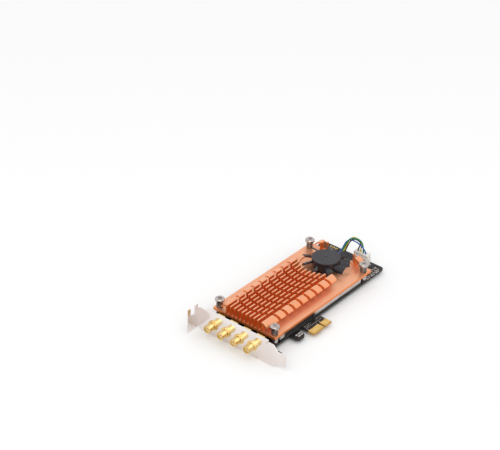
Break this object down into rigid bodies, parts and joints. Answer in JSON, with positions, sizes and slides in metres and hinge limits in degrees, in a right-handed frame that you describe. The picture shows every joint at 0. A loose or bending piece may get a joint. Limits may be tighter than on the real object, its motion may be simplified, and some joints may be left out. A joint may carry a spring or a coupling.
{
  "type": "pcie wifi card",
  "caption": "Low-profile wireless network card with edge contacts, copper-coloured finned heat sink, small fan and a row of gold antenna jacks on a steel bracket.",
  "frame": {"origin": "middle of the key notch on the contact edge, at the component face of the board", "axes": "+X from the bracket to the far end, +Y from the contacts to the bracket's screw tab, +Z out of the component face, with the card lying flat"},
  "size_m": [0.1586, 0.0792, 0.0274],
  "materials": {
    "solder_mask": "black solder mask over glass-fibre board, satin",
    "gold_plate": "thin gold plating, bright",
    "nickel_steel": "nickel-plated sheet steel, satin",
    "white_ptfe": "white fluoropolymer, matt",
    "copper_anodised": "copper-coloured anodised aluminium, satin",
    "nickel_screw": "nickel-plated steel, bright",
    "spring_steel": "spring wire, bright",
    "black_moulding": "black glass-filled nylon, matt",
    "module_board": "green-black solder mask, satin",
    "tinned_shield": "tin-plated sheet steel, satin",
    "gap_pad": "pale grey silicone gap pad, matt",
    "chip_epoxy": "black moulding epoxy, matt",
    "fan_plastic": "dark grey moulded PBT, satin",
    "motor_iron": "laminated motor iron and ferrite, matt",
    "copper_wire": "enamelled copper wire",
    "bronze": "sintered bronze",
    "bright_steel": "ground steel",
    "ivory_nylon": "ivory nylon, matt",
    "ceramic": "tan and grey ceramic chip parts",
    "wire_blue": "blue wire sleeve",
    "wire_green": "green wire sleeve",
    "wire_yellow": "yellow wire sleeve",
    "wire_black": "black wire sleeve"
  },
  "bodies": {
    "card": {"circuit_board": "solder_mask", "edge_contacts_top": "gold_plate", "edge_contacts_bottom": "gold_plate", "io_bracket": "nickel_steel", "antenna_jack_1": "gold_plate", "antenna_jack_2": "gold_plate", "antenna_jack_3": "gold_plate", "antenna_jack_4": "gold_plate", "jack_insulators": "white_ptfe", "jack_center_pins": "gold_plate", "jack_washers": "gold_plate", "jack_nuts": "gold_plate", "heat_sink": "copper_anodised", "heat_sink_screws": "nickel_screw", "screw_springs": "spring_steel", "screw_standoffs": "gold_plate", "module_socket": "black_moulding", "radio_module_board": "module_board", "module_shield": "tinned_shield", "module_pad": "gap_pad", "module_posts": "gold_plate", "module_screws": "nickel_screw", "shield_can": "tinned_shield", "shield_pad": "gap_pad", "radio_chip": "chip_epoxy", "frontend_chips": "chip_epoxy", "regulator_chip": "chip_epoxy", "regulator_pad": "gap_pad", "fan_adhesive": "gap_pad", "fan_base": "fan_plastic", "fan_driver_board": "module_board", "stator_core": "motor_iron", "stator_windings": "copper_wire", "bearing_sleeve": "bronze", "fan_header": "ivory_nylon", "header_pins": "gold_plate", "fan_plug": "ivory_nylon", "power_inductors": "chip_epoxy", "chip_capacitors": "ceramic", "chip_resistors": "ceramic", "hole_rings": "gold_plate", "fan_wire_blue": "wire_blue", "fan_wire_green": "wire_green", "fan_wire_yellow": "wire_yellow", "fan_wire_black": "wire_black"},
    "rotor": {"fan_rotor": "fan_plastic", "rotor_yoke": "bright_steel", "rotor_magnet": "motor_iron", "fan_shaft": "bright_steel"}
  },
  "joints": [
    {"name": "fan_spin", "type": "hinge", "parent": "card", "child": "rotor", "pos_m": [0.0535, 0.0405, 0.0115], "axis": [0, 0, 1], "continuous": true}
  ]
}
